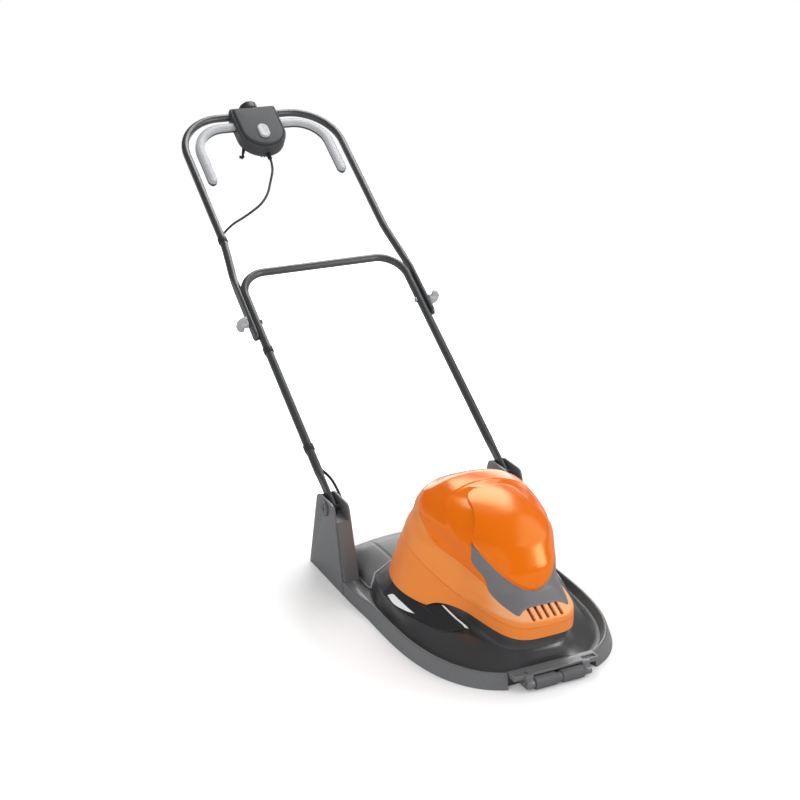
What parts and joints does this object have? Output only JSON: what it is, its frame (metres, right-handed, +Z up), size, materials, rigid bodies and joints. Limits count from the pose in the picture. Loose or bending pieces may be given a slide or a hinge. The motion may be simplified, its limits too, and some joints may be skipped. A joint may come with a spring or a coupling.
{
  "type": "hover mower",
  "caption": "Electric hover mower with a domed deck, fan and blade under a motor cowl, front roller and a folding tube handle with a switch box and squeeze levers.",
  "frame": {"origin": "middle of the footprint, on the ground under the rim", "axes": "+Z up, -Y towards the front roller, +X across the deck"},
  "size_m": [0.506, 1.5942, 0.8354],
  "materials": {
    "deck_plastic": "satin black moulded plastic",
    "grey_plastic": "satin dark grey moulded plastic",
    "orange_plastic": "glossy orange moulded plastic",
    "tube_paint": "gloss black painted steel tube",
    "light_plastic": "satin light grey plastic",
    "white_plastic": "satin white plastic",
    "steel": "plain steel",
    "blade_steel": "ground steel",
    "cast_metal": "die cast",
    "copper": "lacquered copper",
    "carbon": "pressed carbon",
    "lead_rubber": "black flexible sheath"
  },
  "bodies": {
    "deck": {"hood": "deck_plastic", "intake_guard_left": "deck_plastic", "intake_guard_right": "deck_plastic", "rear_cover": "grey_plastic", "bracket_left": "grey_plastic", "bracket_right": "grey_plastic", "roller_carrier": "grey_plastic", "roller_axle": "steel", "cowl_skirt": "orange_plastic", "cowl_cap": "orange_plastic", "cowl_trim": "grey_plastic", "motor_plate": "cast_metal", "motor_can": "steel", "stator_core": "steel", "field_coils": "copper", "end_bracket": "cast_metal", "lower_bearing": "steel", "upper_bearing": "steel", "brush_holders": "copper", "carbon_brushes": "carbon", "capacitor": "white_plastic", "terminal_block": "white_plastic", "lead_grommet": "lead_rubber", "lead_tail": "lead_rubber", "pivot_screws": "grey_plastic", "cowl_screws": "steel", "motor_screws": "steel"},
    "rotor": {"motor_shaft": "steel", "armature": "copper", "commutator": "copper", "fan": "white_plastic", "height_spacers": "orange_plastic", "blade": "blade_steel", "blade_washer": "steel", "blade_nut": "steel"},
    "roller": {"transport_roller": "grey_plastic"},
    "lower_handle": {"lower_tube": "tube_paint", "lower_clips": "deck_plastic", "fold_bolts": "steel", "lead_lower": "lead_rubber"},
    "upper_handle": {"upper_tube": "tube_paint", "upper_clip": "deck_plastic", "lead_upper": "lead_rubber", "box_base": "grey_plastic", "box_top": "grey_plastic", "mains_inlet": "deck_plastic", "cord_hook": "deck_plastic", "strain_relief": "lead_rubber", "microswitch": "deck_plastic", "box_screws": "steel", "button_spring": "steel"},
    "knob_left": {"wing_knob_left": "light_plastic"},
    "knob_right": {"wing_knob_right": "light_plastic"},
    "button": {"lock_button": "light_plastic"},
    "lever_left": {"lever_left_core": "deck_plastic", "lever_left_cover": "light_plastic"},
    "lever_right": {"lever_right_core": "deck_plastic", "lever_right_cover": "light_plastic"}
  },
  "joints": [
    {"name": "rotor_spin", "type": "hinge", "parent": "deck", "child": "rotor", "pos_m": [0, -0.44405, 0.034], "axis": [0, 0, 1], "continuous": true},
    {"name": "roller_spin", "type": "hinge", "parent": "deck", "child": "roller", "pos_m": [0, -0.78405, 0.0135], "axis": [1, 0, 0], "continuous": true},
    {"name": "handle_tilt", "type": "hinge", "parent": "deck", "child": "lower_handle", "pos_m": [0, -0.20905, 0.163], "axis": [1, 0, 0], "range_deg": [0, 65]},
    {"name": "handle_fold", "type": "hinge", "parent": "lower_handle", "child": "upper_handle", "pos_m": [0, 0.21206, 0.44173], "axis": [1, 0, 0], "range_deg": [0, 120]},
    {"name": "knob_left_turn", "type": "hinge", "parent": "lower_handle", "child": "knob_left", "pos_m": [-0.23, 0.21206, 0.44173], "axis": [-1, 0, 0], "range_deg": [0, 180]},
    {"name": "knob_right_turn", "type": "hinge", "parent": "lower_handle", "child": "knob_right", "pos_m": [0.23, 0.21206, 0.44173], "axis": [1, 0, 0], "range_deg": [0, 180]},
    {"name": "lever_left_squeeze", "type": "hinge", "parent": "upper_handle", "child": "lever_left", "pos_m": [-0.042, 0.72406, 0.78062], "axis": [0, 0.5519, -0.8339], "range_deg": [0, 4], "stiffness_Nm_per_rad": 4},
    {"name": "lever_right_squeeze", "type": "hinge", "parent": "upper_handle", "child": "lever_right", "pos_m": [0.042, 0.72406, 0.78062], "axis": [0, -0.5519, 0.8339], "range_deg": [0, 4], "stiffness_Nm_per_rad": 4},
    {"name": "lock_button_press", "type": "slide", "parent": "upper_handle", "child": "button", "axis": [0, 0.5519, -0.8339], "range_m": [0, 0.004], "stiffness_N_per_m": 600, "deforming": ["button_spring"]}
  ]
}
